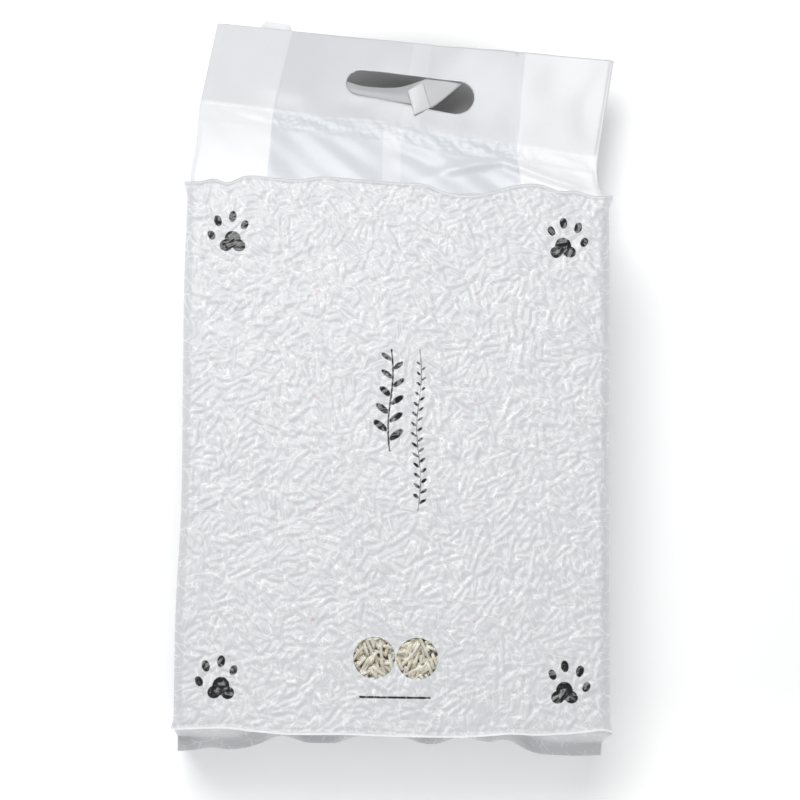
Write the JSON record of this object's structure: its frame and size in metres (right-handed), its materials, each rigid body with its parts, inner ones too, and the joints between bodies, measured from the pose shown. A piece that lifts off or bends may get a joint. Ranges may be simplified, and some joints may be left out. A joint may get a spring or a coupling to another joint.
{
  "type": "cat litter bag",
  "caption": "Vacuum-packed gusseted film bag of pelleted cat litter, with a handle slot punched through its flattened header and clear windows in its front.",
  "frame": {"origin": "middle of the flat back panel that the bag lies on", "axes": "+Y along the bag from the foot to the header, +Z out of the printed front panel, +X to the right of the front"},
  "size_m": [0.2304, 0.41, 0.08],
  "materials": {
    "film": "satin",
    "pellets": "matte"
  },
  "bodies": {
    "root": {"bag_film": "film", "litter_fill": "pellets", "handle_flap": "film"}
  },
  "joints": []
}
